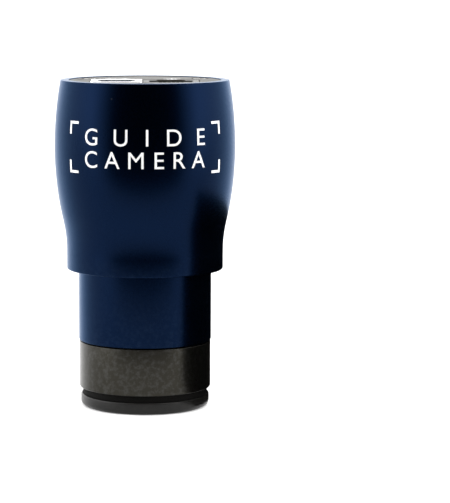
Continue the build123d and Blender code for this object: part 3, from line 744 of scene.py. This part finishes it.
def makeDustCap():
    low, high = span("dust_cap")
    flangeTop = low.z + cap["flangeHeight"]
    neckTopEdge = flangeTop + cap["neckHeight"]
    footInside = high.x - cap["footWidth"]
    inside = cap["spigotRadius"] - cap["wall"]
    foot = low.z + cap["footHeight"]
    profile = softCorners([
        (0, foot + cap["gateDepth"]),
        (cap["gateRadius"], foot + cap["gateDepth"]),
        (cap["gateRadius"], foot, cap["gateRounding"]),
        (footInside, foot),
        (footInside, low.z, cap["footInnerRounding"]),
        (high.x, low.z, cap["footRounding"]),
        (high.x, flangeTop, cap["flangeRounding"]),
        (cap["neckRadius"], flangeTop),
        (cap["neckRadius"], neckTopEdge, cap["neckRounding"]),
        (cap["spigotRadius"], neckTopEdge),
        (cap["spigotRadius"], high.z, cap["spigotRounding"]),
        (inside, high.z, cap["mouthRounding"]),
        (inside, foot + cap["floor"], cap["floorRounding"]),
        (0, foot + cap["floor"]),
    ])
    piece = spin("dustCap", profile, "cap", capPlastic, steps=160)
    # the groove round the neck gets the dull dark finish, which is painted shade in the groove
    margin = cap["grooveMargin"]
    grooveRadii = (cap["neckRadius"] - margin, cap["neckRadius"] + margin)
    paintRing(piece, capGrooveShade, (flangeTop, neckTopEdge - margin), grooveRadii)
    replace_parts(piece, "dust_cap")


def makeSeamSeal():
    low, high = span("nose_seal")
    section = (high.z - low.z) / 2
    outline = circle(section, (high.x - section, low.z + section), 20)
    profile = [(radius, height, 0.0) for radius, height in outline]
    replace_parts(spin("seamSeal", profile, "seal", sealRubber, steps=128), "nose_seal")


# Rear panel with its ports, screws and light
panelLow, panelHigh = span("rear_panel")
rear = {
    "screwCircle": 15.2, "screwAngles": (90, 210, 330), "counterbore": 2.15, "throughHole": 1.1,
    "counterboreDepth": 1.6, "counterboreRounding": 0.12, "portCut": 0.15, "portCorner": 0.2,
    "lightHole": 0.7, "rounding": 0.15,
}
jackLow, jackHigh = span("jack_housing")
usbLow, usbHigh = span("usb_shell")
jackMiddle, usbMiddle = middle("jack_housing"), middle("usb_shell")


def screwPlaces():
    spots = []
    for angle in rear["screwAngles"]:
        turn = math.radians(angle)
        spots.append((-rear["screwCircle"] * math.cos(turn), -rear["screwCircle"] * math.sin(turn)))
    return spots


def makeRearPanel():
    top, bottom = panelHigh.z, panelLow.z
    cut = rear["portCut"]
    low = Vector((usbLow.x - cut, min(jackLow.y, usbLow.y) - cut))
    high = Vector((jackHigh.x + cut, max(jackHigh.y, usbHigh.y) + cut))
    size, centre = high - low, (low + high) / 2
    holes = [box2d(size.x, size.y, centre, rear["portCorner"], hole=True)]
    ledge = top - rear["counterboreDepth"]
    for spot in screwPlaces():
        narrow = circle(rear["throughHole"], spot, hole=True)
        wide = circle(rear["counterbore"], spot, hole=True)
        rings = [(narrow, bottom, 0.0), (narrow, ledge, 0.0), (wide, ledge, 0.0)]
        holes.append(rings + edgeRings(wide, top, rear["counterboreRounding"], True))
    light = middle("light_pipe")
    holes.append(circle(rear["lightHole"], (light.x, light.y), 32, hole=True))
    mesh = bmesh.new()
    addPlate(mesh, circle(panelHigh.x, steps=192), holes, bottom, top, rear["rounding"])
    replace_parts(finishPiece(mesh, "rearPanel", "camera", panelCoat), "rear_panel")


screw = {
    "headRadius": 1.9, "headHeight": 1.5, "rounding": 0.25, "flatRadius": 1.1, "socketFlats": 1.5,
    "socketDepth": 0.9, "socketEdge": 0.12, "drillRadius": 0.45, "drillDepth": 0.28, "shankRadius": 0.95,
    "tipRadius": 0.7, "tipLength": 0.3, "length": 5.0, "pitch": 0.4, "threadDepth": 0.12, "plainLength": 0.1,
}


def hexRadius(turn):
    return screw["socketFlats"] / 2 / math.cos((turn * 6 % 1 - 0.5) * math.pi / 3)


def hexEdgeRadius(turn):
    return hexRadius(turn) + screw["socketEdge"]


def makePanelScrews():
    seat = panelHigh.z - rear["counterboreDepth"]
    face = seat + screw["headHeight"]
    tip = seat - screw["length"]
    socketFloor = face - screw["socketDepth"]
    threadStart = tip + screw["tipLength"]
    profile = softCorners([(0, tip), (screw["tipRadius"], tip)])
    threadSize = (screw["shankRadius"], screw["threadDepth"], screw["pitch"])
    profile += threadRows(*threadSize, threadStart, seat - screw["plainLength"])
    profile += softCorners([
        (screw["shankRadius"], seat),
        (screw["headRadius"], seat),
        (screw["headRadius"], face, screw["rounding"]),
        (screw["flatRadius"], face),
    ])
    profile += [
        (hexEdgeRadius, face, 1.0),
        (hexRadius, face - screw["socketEdge"], 0.0),
        (hexRadius, socketFloor, 0.0),
        (screw["drillRadius"], socketFloor, 0.0),
        (0, socketFloor - screw["drillDepth"], 0.0),
    ]
    made = []
    for number, spot in enumerate(screwPlaces(), 1):
        made.append(spin(f"panelScrew{number}", profile, "camera", screwSteel, spot, 72))
        # the hex socket and its drill point get the dark steel, which is painted shade in the socket
        socket = (socketFloor - screw["drillDepth"], face - screw["socketEdge"] / 2)
        paintRing(made[-1], socketShadeSteel, socket, (0, screw["flatRadius"]), spot)
    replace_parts(made[0], "panel_screws")


# Guide jack
jack = {
    "mouthWidth": 10.2, "mouthHeight": 7.2, "mouthOffset": -0.15, "reach": 12.5, "latchWidth": 6.65,
    "contacts": 6, "pitch": 1.02, "slotWidth": 0.65, "slotDepth": 1.5, "faceRounding": 0.12,
    "blockRounding": 0.05, "wireRadius": 0.17, "wireBack": 0.9, "backDepth": 1.6, "backBend": 0.5,
    "frontDepth": 1.0, "frontBend": 0.45, "tipDepth": 9.0, "tipShare": 0.18,
}


def makeJack():
    width, depth = jackHigh.x - jackLow.x, jackHigh.y - jackLow.y
    face, foot = jackHigh.z, jackLow.z
    mouthFloor = face - jack["reach"]
    low = jack["mouthOffset"] - jack["mouthHeight"] / 2
    high = low + jack["mouthHeight"]
    half, wide, latch = width / 2, jack["mouthWidth"] / 2, jack["latchWidth"] / 2
    outline = [
        (-half, -depth / 2), (-latch, -depth / 2), (-latch, low), (-wide, low), (-wide, high),
    ]
    middleContact = (jack["contacts"] - 1) / 2
    contactPlaces = [(index - middleContact) * jack["pitch"] for index in range(jack["contacts"])]
    for centre in contactPlaces:
        left, right = centre - jack["slotWidth"] / 2, centre + jack["slotWidth"] / 2
        slotTop = high + jack["slotDepth"]
        outline += [(left, high), (left, slotTop), (right, slotTop), (right, high)]
    outline += [
        (wide, high), (wide, low), (latch, low), (latch, -depth / 2), (half, -depth / 2),
        (half, depth / 2), (-half, depth / 2),
    ]
    mesh = bmesh.new()
    addPlate(mesh, outline, [], mouthFloor, face, jack["faceRounding"])
    addPlate(mesh, box2d(width, depth), [], foot, mouthFloor, jack["blockRounding"])
    place = inPorts(-jackMiddle.x, -jackMiddle.y)
    housing = finishPiece(mesh, "jackHousing", "camera", jackPlastic, place)
    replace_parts(housing, "jack_housing")
    # each wire comes up behind the mouth, bends over its edge and springs back into it
    anchor = high + jack["wireBack"]
    path = [
        (anchor, foot),
        (anchor, face - jack["backDepth"], jack["backBend"]),
        (high, face - jack["frontDepth"], jack["frontBend"]),
        (jack["mouthOffset"] + jack["mouthHeight"] * jack["tipShare"], face - jack["tipDepth"]),
    ]
    wirePath = [(v, height) for v, height, _ in softCorners(path, 8)]
    wires = []
    for number, centre in enumerate(contactPlaces, 1):
        mesh = bmesh.new()
        addWire(mesh, wirePath, jack["wireRadius"])
        place = inPorts(-jackMiddle.x + centre, -jackMiddle.y)
        wires.append(finishPiece(mesh, f"jackWire{number}", "camera", goldPlate, place))
    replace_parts(wires[0], "jack_contacts")


# USB socket
usb = {
    "lip": 0.6, "sheet": 0.4, "corner": 0.8, "lowWidth": 8.9, "highWidth": 7.1, "mouthLow": -4.85,
    "bevelLow": 0.85, "bevelHigh": 2.75, "mouthHigh": 5.35, "reach": 11.0, "gap": 0.05,
    "mainTongue": (5.6, 3.15, -0.97, 2.0), "upperTongue": (5.0, 1.2, 4.4, 1.5), "rounding": 0.15,
    "tongueCorner": 0.3, "tongueRounding": 0.15, "blockEdge": 0.04, "stripThickness": 0.14, "stripEdge": 0.04,
    "stripRecess": 1.0, "mainStrip": 1.1, "upperStrip": 0.5, "upperStrips": 5,
}


def usbMouth():
    low, high = usb["lowWidth"] / 2, usb["highWidth"] / 2
    return [
        (-low, usb["mouthLow"]), (-low, usb["bevelLow"]),
        (-high, usb["bevelHigh"]), (-high, usb["mouthHigh"]),
        (high, usb["mouthHigh"]), (high, usb["bevelHigh"]),
        (low, usb["bevelLow"]), (low, usb["mouthLow"]),
    ]


def makeUsbSocket():
    width, depth = usbHigh.x - usbLow.x, usbHigh.y - usbLow.y
    face, foot = usbHigh.z, usbLow.z
    lipUnder = face - usb["lip"]
    place = inPorts(-usbMiddle.x, -usbMiddle.y)
    outer = box2d(width, depth, rounding=usb["corner"])
    innerCorner = usb["corner"] - usb["sheet"]
    inner = box2d(width - 2 * usb["sheet"], depth - 2 * usb["sheet"], rounding=innerCorner, hole=True)
    mesh = bmesh.new()
    addPlate(mesh, outer, [usbMouth()], lipUnder, face, usb["rounding"])
    addPlate(mesh, outer, [inner], foot, lipUnder, usb["blockEdge"])
    shell = finishPiece(mesh, "usbShell", "camera", shellSteel, place)
    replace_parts(shell, "usb_shell")
    clear = usb["sheet"] + usb["gap"]
    block = box2d(width - 2 * clear, depth - 2 * clear, rounding=innerCorner)
    mouthFloor = lipUnder - usb["reach"]
    mesh = bmesh.new()
    addPlate(mesh, block, [usbMouth()], mouthFloor, lipUnder - usb["blockEdge"], usb["blockEdge"])
    addPlate(mesh, block, [], foot, mouthFloor, usb["blockEdge"])
    for tongueWidth, thickness, offset, recess in (usb["mainTongue"], usb["upperTongue"]):
        tongue = box2d(tongueWidth, thickness, (0, offset), usb["tongueCorner"])
        addPlate(mesh, tongue, [], mouthFloor, face - recess, usb["tongueRounding"])
    insulator = finishPiece(mesh, "usbInsulator", "camera", bluePlastic, place)
    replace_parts(insulator, "usb_insulator")
    mesh = bmesh.new()
    sheet = usb["stripThickness"]
    mainWidth, mainThickness, mainOffset, mainRecess = usb["mainTongue"]
    for side in (-1, 1):
        for u in (-mainWidth / 4, mainWidth / 4):
            strip = box2d(usb["mainStrip"], sheet, (u, mainOffset + side * (mainThickness + sheet) / 2))
            addPlate(mesh, strip, [], mouthFloor, face - mainRecess - usb["stripRecess"], usb["stripEdge"])
    upperWidth, upperThickness, upperOffset, upperRecess = usb["upperTongue"]
    count = usb["upperStrips"]
    for index in range(count):
        u = (index - (count - 1) / 2) * upperWidth / count
        strip = box2d(usb["upperStrip"], sheet, (u, upperOffset - (upperThickness + sheet) / 2))
        addPlate(mesh, strip, [], mouthFloor, face - upperRecess - usb["stripRecess"], usb["stripEdge"])
    strips = finishPiece(mesh, "usbContactStrips", "camera", goldPlate, place)
    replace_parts(strips, "usb_contacts")


# Light pipe
lightPipe = {"domeHeight": 0.25, "domeSteps": 6}


def makeLightPipe():
    low, high = span("light_pipe")
    centre = middle("light_pipe")
    radius = (high.x - low.x) / 2
    shoulder = high.z - lightPipe["domeHeight"]
    profile = []
    for step in range(lightPipe["domeSteps"]):
        turn = quarter * step / lightPipe["domeSteps"]
        profile.append((radius * math.sin(turn), shoulder + lightPipe["domeHeight"] * math.cos(turn), 0.0))
    profile += [(radius, shoulder, 0.0), (radius, low.z, 0.0), (0, low.z, 0.0)]
    pipe = spin("lightPipe", profile, "camera", clearResin, (centre.x, centre.y), 40)
    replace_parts(pipe, "light_pipe")


# Print
ink = {"sink": 0.04, "proud": 0.035, "headGrid": 1.2, "panelGrid": 4.0, "gap": 0.01}
headPrint = {
    "centre": 63.1, "halfWidth": 20.3, "halfHeight": 6.0, "arm": 3.0, "line": 0.6,
    "letterHeight": 3.9, "lineGap": 1.3, "wordWidth": 30.0,
}


def typeset(text, spacing):
    curve = bpy.data.curves.new("words", "FONT")
    curve.body = text
    curve.resolution_u = 8
    curve.space_character = spacing
    holder = bpy.data.objects.new("words", curve)
    data = bpy.data.meshes.new_from_object(holder)
    bpy.data.objects.remove(holder)
    bpy.data.curves.remove(curve)
    return data


def addWords(mesh, text, height, width, level):
    # letters of one height, spaced out to a width, with their middle at a level
    sizes = []
    for spacing in (1.0, 2.0):
        data = typeset(text, spacing)
        xs, ys = [vert.co.x for vert in data.vertices], [vert.co.y for vert in data.vertices]
        scale = height / (max(ys) - min(ys))
        sizes.append((max(xs) - min(xs)) * scale)
        bpy.data.meshes.remove(data)
    data = typeset(text, 1 + (width - sizes[0]) / (sizes[1] - sizes[0]))
    left = min(vert.co.x for vert in data.vertices)
    low = min(vert.co.y for vert in data.vertices)
    shift = Vector((-left * scale - width / 2, level - low * scale - height / 2, 0))
    data.transform(Matrix.Translation(shift) @ Matrix.Scale(scale, 4))
    mesh.from_mesh(data)
    bpy.data.meshes.remove(data)


def addFlat(mesh, outline):
    mesh.faces.new([mesh.verts.new((x, y, 0)) for x, y in outline])


def thicken(mesh, step):
    # cuts a flat print into a grid that can bend, and gives it a thickness
    reachX = max(abs(vert.co.x) for vert in mesh.verts)
    reachY = max(abs(vert.co.y) for vert in mesh.verts)
    for normal, extent in (((1, 0, 0), reachX), ((0, 1, 0), reachY)):
        count = int(extent / step)
        for index in range(-count, count + 1):
            geometry = mesh.verts[:] + mesh.edges[:] + mesh.faces[:]
            spot = Vector(normal) * index * step
            bmesh.ops.bisect_plane(mesh, geom=geometry, plane_co=spot, plane_no=normal, dist=1e-5)
    raised = bmesh.ops.extrude_face_region(mesh, geom=mesh.faces[:])
    for item in raised["geom"]:
        if isinstance(item, bmesh.types.BMVert):
            item.co.z = 1.0


def inkLevel(vert):
    # a thickened print has its raised points at z = 1 and the others at 0
    return ink["proud"] if vert.co.z > 0.5 else -ink["sink"]


def wrapOnHead(mesh, name, centreHeight):
    thicken(mesh, ink["headGrid"])
    girth = headRadius(centreHeight)
    for vert in mesh.verts:
        height = centreHeight + vert.co.y
        angle = vert.co.x / girth
        radius = headRadius(height) + inkLevel(vert)
        vert.co = Vector((radius * math.sin(angle), -radius * math.cos(angle), height))
    return finishPiece(mesh, name, "camera", printInk)


def layOnPanel(mesh, name, u, v):
    thicken(mesh, ink["panelGrid"])
    for vert in mesh.verts:
        vert.co.z = panelHigh.z + inkLevel(vert)
    return finishPiece(mesh, name, "camera", printInk, inPorts(u, v))


def makeHeadPrint():
    # a viewfinder's corners round two lines of words
    halfWidth, halfHeight = headPrint["halfWidth"], headPrint["halfHeight"]
    arm, line = headPrint["arm"], headPrint["line"]
    mesh = bmesh.new()
    for sideX in (-1, 1):
        for sideY in (-1, 1):
            corner = [(0, 0), (-arm, 0), (-arm, -line), (-line, -line), (-line, -arm), (0, -arm)]
            outline = [(sideX * (halfWidth + x), sideY * (halfHeight + y)) for x, y in corner]
            addFlat(mesh, outline if sideX * sideY > 0 else outline[::-1])
    wrapOnHead(mesh, "printFinder", headPrint["centre"])
    mesh = bmesh.new()
    rise = (headPrint["letterHeight"] + headPrint["lineGap"]) / 2
    for text, level in (("GUIDE", rise), ("CAMERA", -rise)):
        addWords(mesh, text, headPrint["letterHeight"], headPrint["wordWidth"], level)
    bmesh.ops.remove_doubles(mesh, verts=mesh.verts, dist=1e-4)
    wrapOnHead(mesh, "printWords", headPrint["centre"])


guideLabel = {
    "place": (-6.4, -4.2), "ring": 1.3, "line": 0.32, "armStart": 0.75, "armEnd": 2.0, "dot": 0.28,
    "steps": 40,
}


def makeGuideLabel():
    # a reticle: a ring with a dot, and four arms in two parts each
    mesh = bmesh.new()
    ring, line = guideLabel["ring"], guideLabel["line"]
    outside, inside = (circle(radius, steps=guideLabel["steps"]) for radius in (ring, ring - line))
    for index in range(guideLabel["steps"]):
        addFlat(mesh, [outside[index - 1], outside[index], inside[index], inside[index - 1]])
    bmesh.ops.remove_doubles(mesh, verts=mesh.verts, dist=1e-4)
    addFlat(mesh, circle(guideLabel["dot"], steps=16))
    layOnPanel(mesh, "guideRing", *guideLabel["place"])
    mesh = bmesh.new()
    for turn in range(4):
        spun = Matrix.Rotation(quarter * turn, 2)
        innerArm = (guideLabel["armStart"], ring - line - ink["gap"])
        outerArm = (ring + ink["gap"], guideLabel["armEnd"])
        for low, high in (innerArm, outerArm):
            corners = [(low, -line / 2), (high, -line / 2), (high, line / 2), (low, line / 2)]
            addFlat(mesh, [spun @ Vector(corner) for corner in corners])
    layOnPanel(mesh, "guideArms", *guideLabel["place"])


dataLabel = {"place": (6.5, -4.4), "reach": 2.9, "head": 1.4, "headHalf": 0.6, "rise": 0.55, "line": 0.4}


def makeDataLabel():
    # a two-way arrow
    mesh = bmesh.new()
    reach, rise, half = dataLabel["reach"], dataLabel["rise"], dataLabel["line"] / 2
    neck = reach - dataLabel["head"]
    barb = dataLabel["headHalf"]
    for side in (-1, 1):
        outline = [
            (-reach, rise - half), (neck, rise - half), (neck, rise - barb), (reach, rise),
            (neck, rise + barb), (neck, rise + half), (-reach, rise + half),
        ]
        addFlat(mesh, [(side * x, side * y) for x, y in outline])
    layOnPanel(mesh, "dataLabel", *dataLabel["place"])


makeHeadShell()
makeBarrel()
makeNosepiece()
makeDustCap()
makeSeamSeal()
print("turned pieces made")
makeRearPanel()
makePanelScrews()
makeJack()
makeUsbSocket()
makeLightPipe()
print("panel and ports made")
makeHeadPrint()
makeGuideLabel()
makeDataLabel()
print("print made")

# Finishes of the pieces that keep their CAD shape
keptFinishes = {
    sealRubber: ["window_seal"],
    windowCoating: ["window_glass", "sensor_cover_glass"],
    blackAnodising: ["window_retainer"],
    foam: ["sensor_gasket"],
    sensorCeramic: ["sensor_package"],
    siliconDie: ["sensor_die"],
    boardFinish: ["sensor_board", "main_board", "interface_board"],
    nickelBrass: ["sensor_board_spacers", "lower_standoffs", "upper_standoffs", "rear_standoffs"],
    chipPlastic: [
        "lower_board_header", "lower_board_socket", "upper_board_header", "upper_board_socket",
        "voltage_regulators", "image_processor", "memory_chip", "usb_controller", "guide_optocouplers",
    ],
    ferrite: ["power_inductors"],
    screwSteel: ["clock_crystals"],
    tinCeramic: ["ceramic_capacitors"],
    lampResin: ["status_led"],
}
for material, names in keptFinishes.items():
    for name in names:
        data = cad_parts[name].data
        data.materials.clear()
        data.materials.append(material)
print("kept pieces finished")


# Studio, in metres: pale table, one soft box, pale walls, and a dark room behind the viewer
floorLook = {"reach": 6.0, "front": -0.165, "shade": 0.62, "roughness": 0.9, "glow": 0.3}


def makeFloor():
    mesh = bmesh.new()
    reach = floorLook["reach"]
    corners = [(-reach, floorLook["front"]), (reach, floorLook["front"]), (reach, reach), (-reach, reach)]
    mesh.faces.new([mesh.verts.new((x, y, 0)) for x, y in corners])
    paper, _, shader = newMaterial("floorPaper")
    shader.inputs["Base Color"].default_value = (*[floorLook["shade"]] * 3, 1)
    shader.inputs["Roughness"].default_value = floorLook["roughness"]
    shader.inputs["Emission Color"].default_value = (1, 1, 1, 1)
    shader.inputs["Emission Strength"].default_value = floorLook["glow"]
    floor = addToScene(mesh, "floor", paper)


darkCard = {
    "insideRadius": 0.0165, "outsideRadius": 0.05, "bottom": 0.0004, "startTop": 0.044, "endTop": 0.037,
    "startAngle": 58.0, "endAngle": 195.0, "steps": 24, "shade": 0.001,
}


def makeDarkCard():
    # a curved black card, from the right round to the back, which shows only in gloss
    mesh = bmesh.new()
    inside, outside, bottom = darkCard["insideRadius"], darkCard["outsideRadius"], darkCard["bottom"]
    rows = []
    for step in range(darkCard["steps"] + 1):
        share = step / darkCard["steps"]
        turn = math.radians(darkCard["startAngle"] + (darkCard["endAngle"] - darkCard["startAngle"]) * share)
        top = darkCard["startTop"] + (darkCard["endTop"] - darkCard["startTop"]) * share
        row = []
        for radius, height in ((inside, bottom), (outside, bottom), (outside, top)):
            row.append(mesh.verts.new((radius * math.sin(turn), -radius * math.cos(turn), height)))
        rows.append(row)
    for row, following in zip(rows, rows[1:]):
        for index in range(2):
            mesh.faces.new((row[index], following[index], following[index + 1], row[index + 1]))
    paper, _, shader = newMaterial("cardPaper")
    shader.inputs["Base Color"].default_value = (*[darkCard["shade"]] * 3, 1)
    shader.inputs["Specular IOR Level"].default_value = 0.0
    card = addToScene(mesh, "darkCard", paper)
    card.visible_camera = card.visible_diffuse = card.visible_shadow = False


# strengths of the room's parts, and where along Y and up Z one turns into the next
room = {
    "dark": 0.04, "side": 3.9, "back": 2.1, "ceiling": 1.0, "darkEnd": -0.72, "sideStart": -0.30,
    "backStart": 0.5, "wallTop": 0.5, "ceilingStart": 0.9,
}


def makeWorld():
    # seen directly the room is plain white, and in gloss and light it has its dark and bright walls
    world = bpy.data.worlds.new("studio")
    bpy.context.scene.world = world
    world.use_nodes = True
    tree = world.node_tree
    tree.nodes.clear()
    direction = addNode(tree, "ShaderNodeTexCoord").outputs["Generated"]
    parts = addNode(tree, "ShaderNodeSeparateXYZ", {0: direction})
    toSide = remap(tree, parts.outputs["Y"], room["darkEnd"], room["sideStart"], room["dark"], room["side"])
    fall = room["side"] - room["back"]
    toBack = remap(tree, parts.outputs["Y"], room["sideStart"], room["backStart"], 0.0, fall)
    walls = calculate(tree, "SUBTRACT", toSide, toBack)
    above = remap(tree, parts.outputs["Z"], room["wallTop"], room["ceilingStart"], 0.0, room["ceiling"])
    total = calculate(tree, "MAXIMUM", walls, above)
    lit = addNode(tree, "ShaderNodeBackground", {"Color": (1, 1, 1, 1), "Strength": total})
    plain = addNode(tree, "ShaderNodeBackground", {"Color": (1, 1, 1, 1), "Strength": 1.0})
    seen = addNode(tree, "ShaderNodeLightPath").outputs["Is Camera Ray"]
    mixed = addNode(tree, "ShaderNodeMixShader", {0: seen, 1: lit.outputs[0], 2: plain.outputs[0]})
    addNode(tree, "ShaderNodeOutputWorld", {"Surface": mixed.outputs[0]})


topSoftBox = {"place": (0.0, 0.10, 0.75), "size": 0.6, "energy": 2.0, "aim": (0.0, 0.0, 0.04)}


def makeSoftBox():
    data = bpy.data.lights.new("topSoftBox", "AREA")
    data.shape = "SQUARE"
    data.size = topSoftBox["size"]
    data.energy = topSoftBox["energy"]
    light = bpy.data.objects.new("topSoftBox", data)
    light.location = topSoftBox["place"]
    light.rotation_mode = "QUATERNION"
    aim = Vector(topSoftBox["aim"]) - Vector(topSoftBox["place"])
    light.rotation_quaternion = aim.to_track_quat("-Z", "Y")
    light.visible_camera = False
    bpy.context.scene.collection.objects.link(light)


view = {
    "distance": 0.540, "height": 0.1062, "pitch": 7.314, "shift": 0.1591, "lens": 162.9, "sensor": 36.0,
    "near": 0.01, "far": 20.0,
}


def makeCamera():
    data = bpy.data.cameras.new("camera")
    data.lens = view["lens"]
    data.sensor_width = view["sensor"]
    data.shift_x = view["shift"]
    data.clip_start, data.clip_end = view["near"], view["far"]
    camera = bpy.data.objects.new("camera", data)
    camera.location = (0, -view["distance"], view["height"])
    camera.rotation_euler = (math.radians(90 - view["pitch"]), 0, 0)
    bpy.context.scene.collection.objects.link(camera)
    bpy.context.scene.camera = camera


makeFloor()
makeDarkCard()
makeWorld()
makeSoftBox()
makeCamera()
bpy.context.scene.view_settings.view_transform = "Standard"
print("studio made")
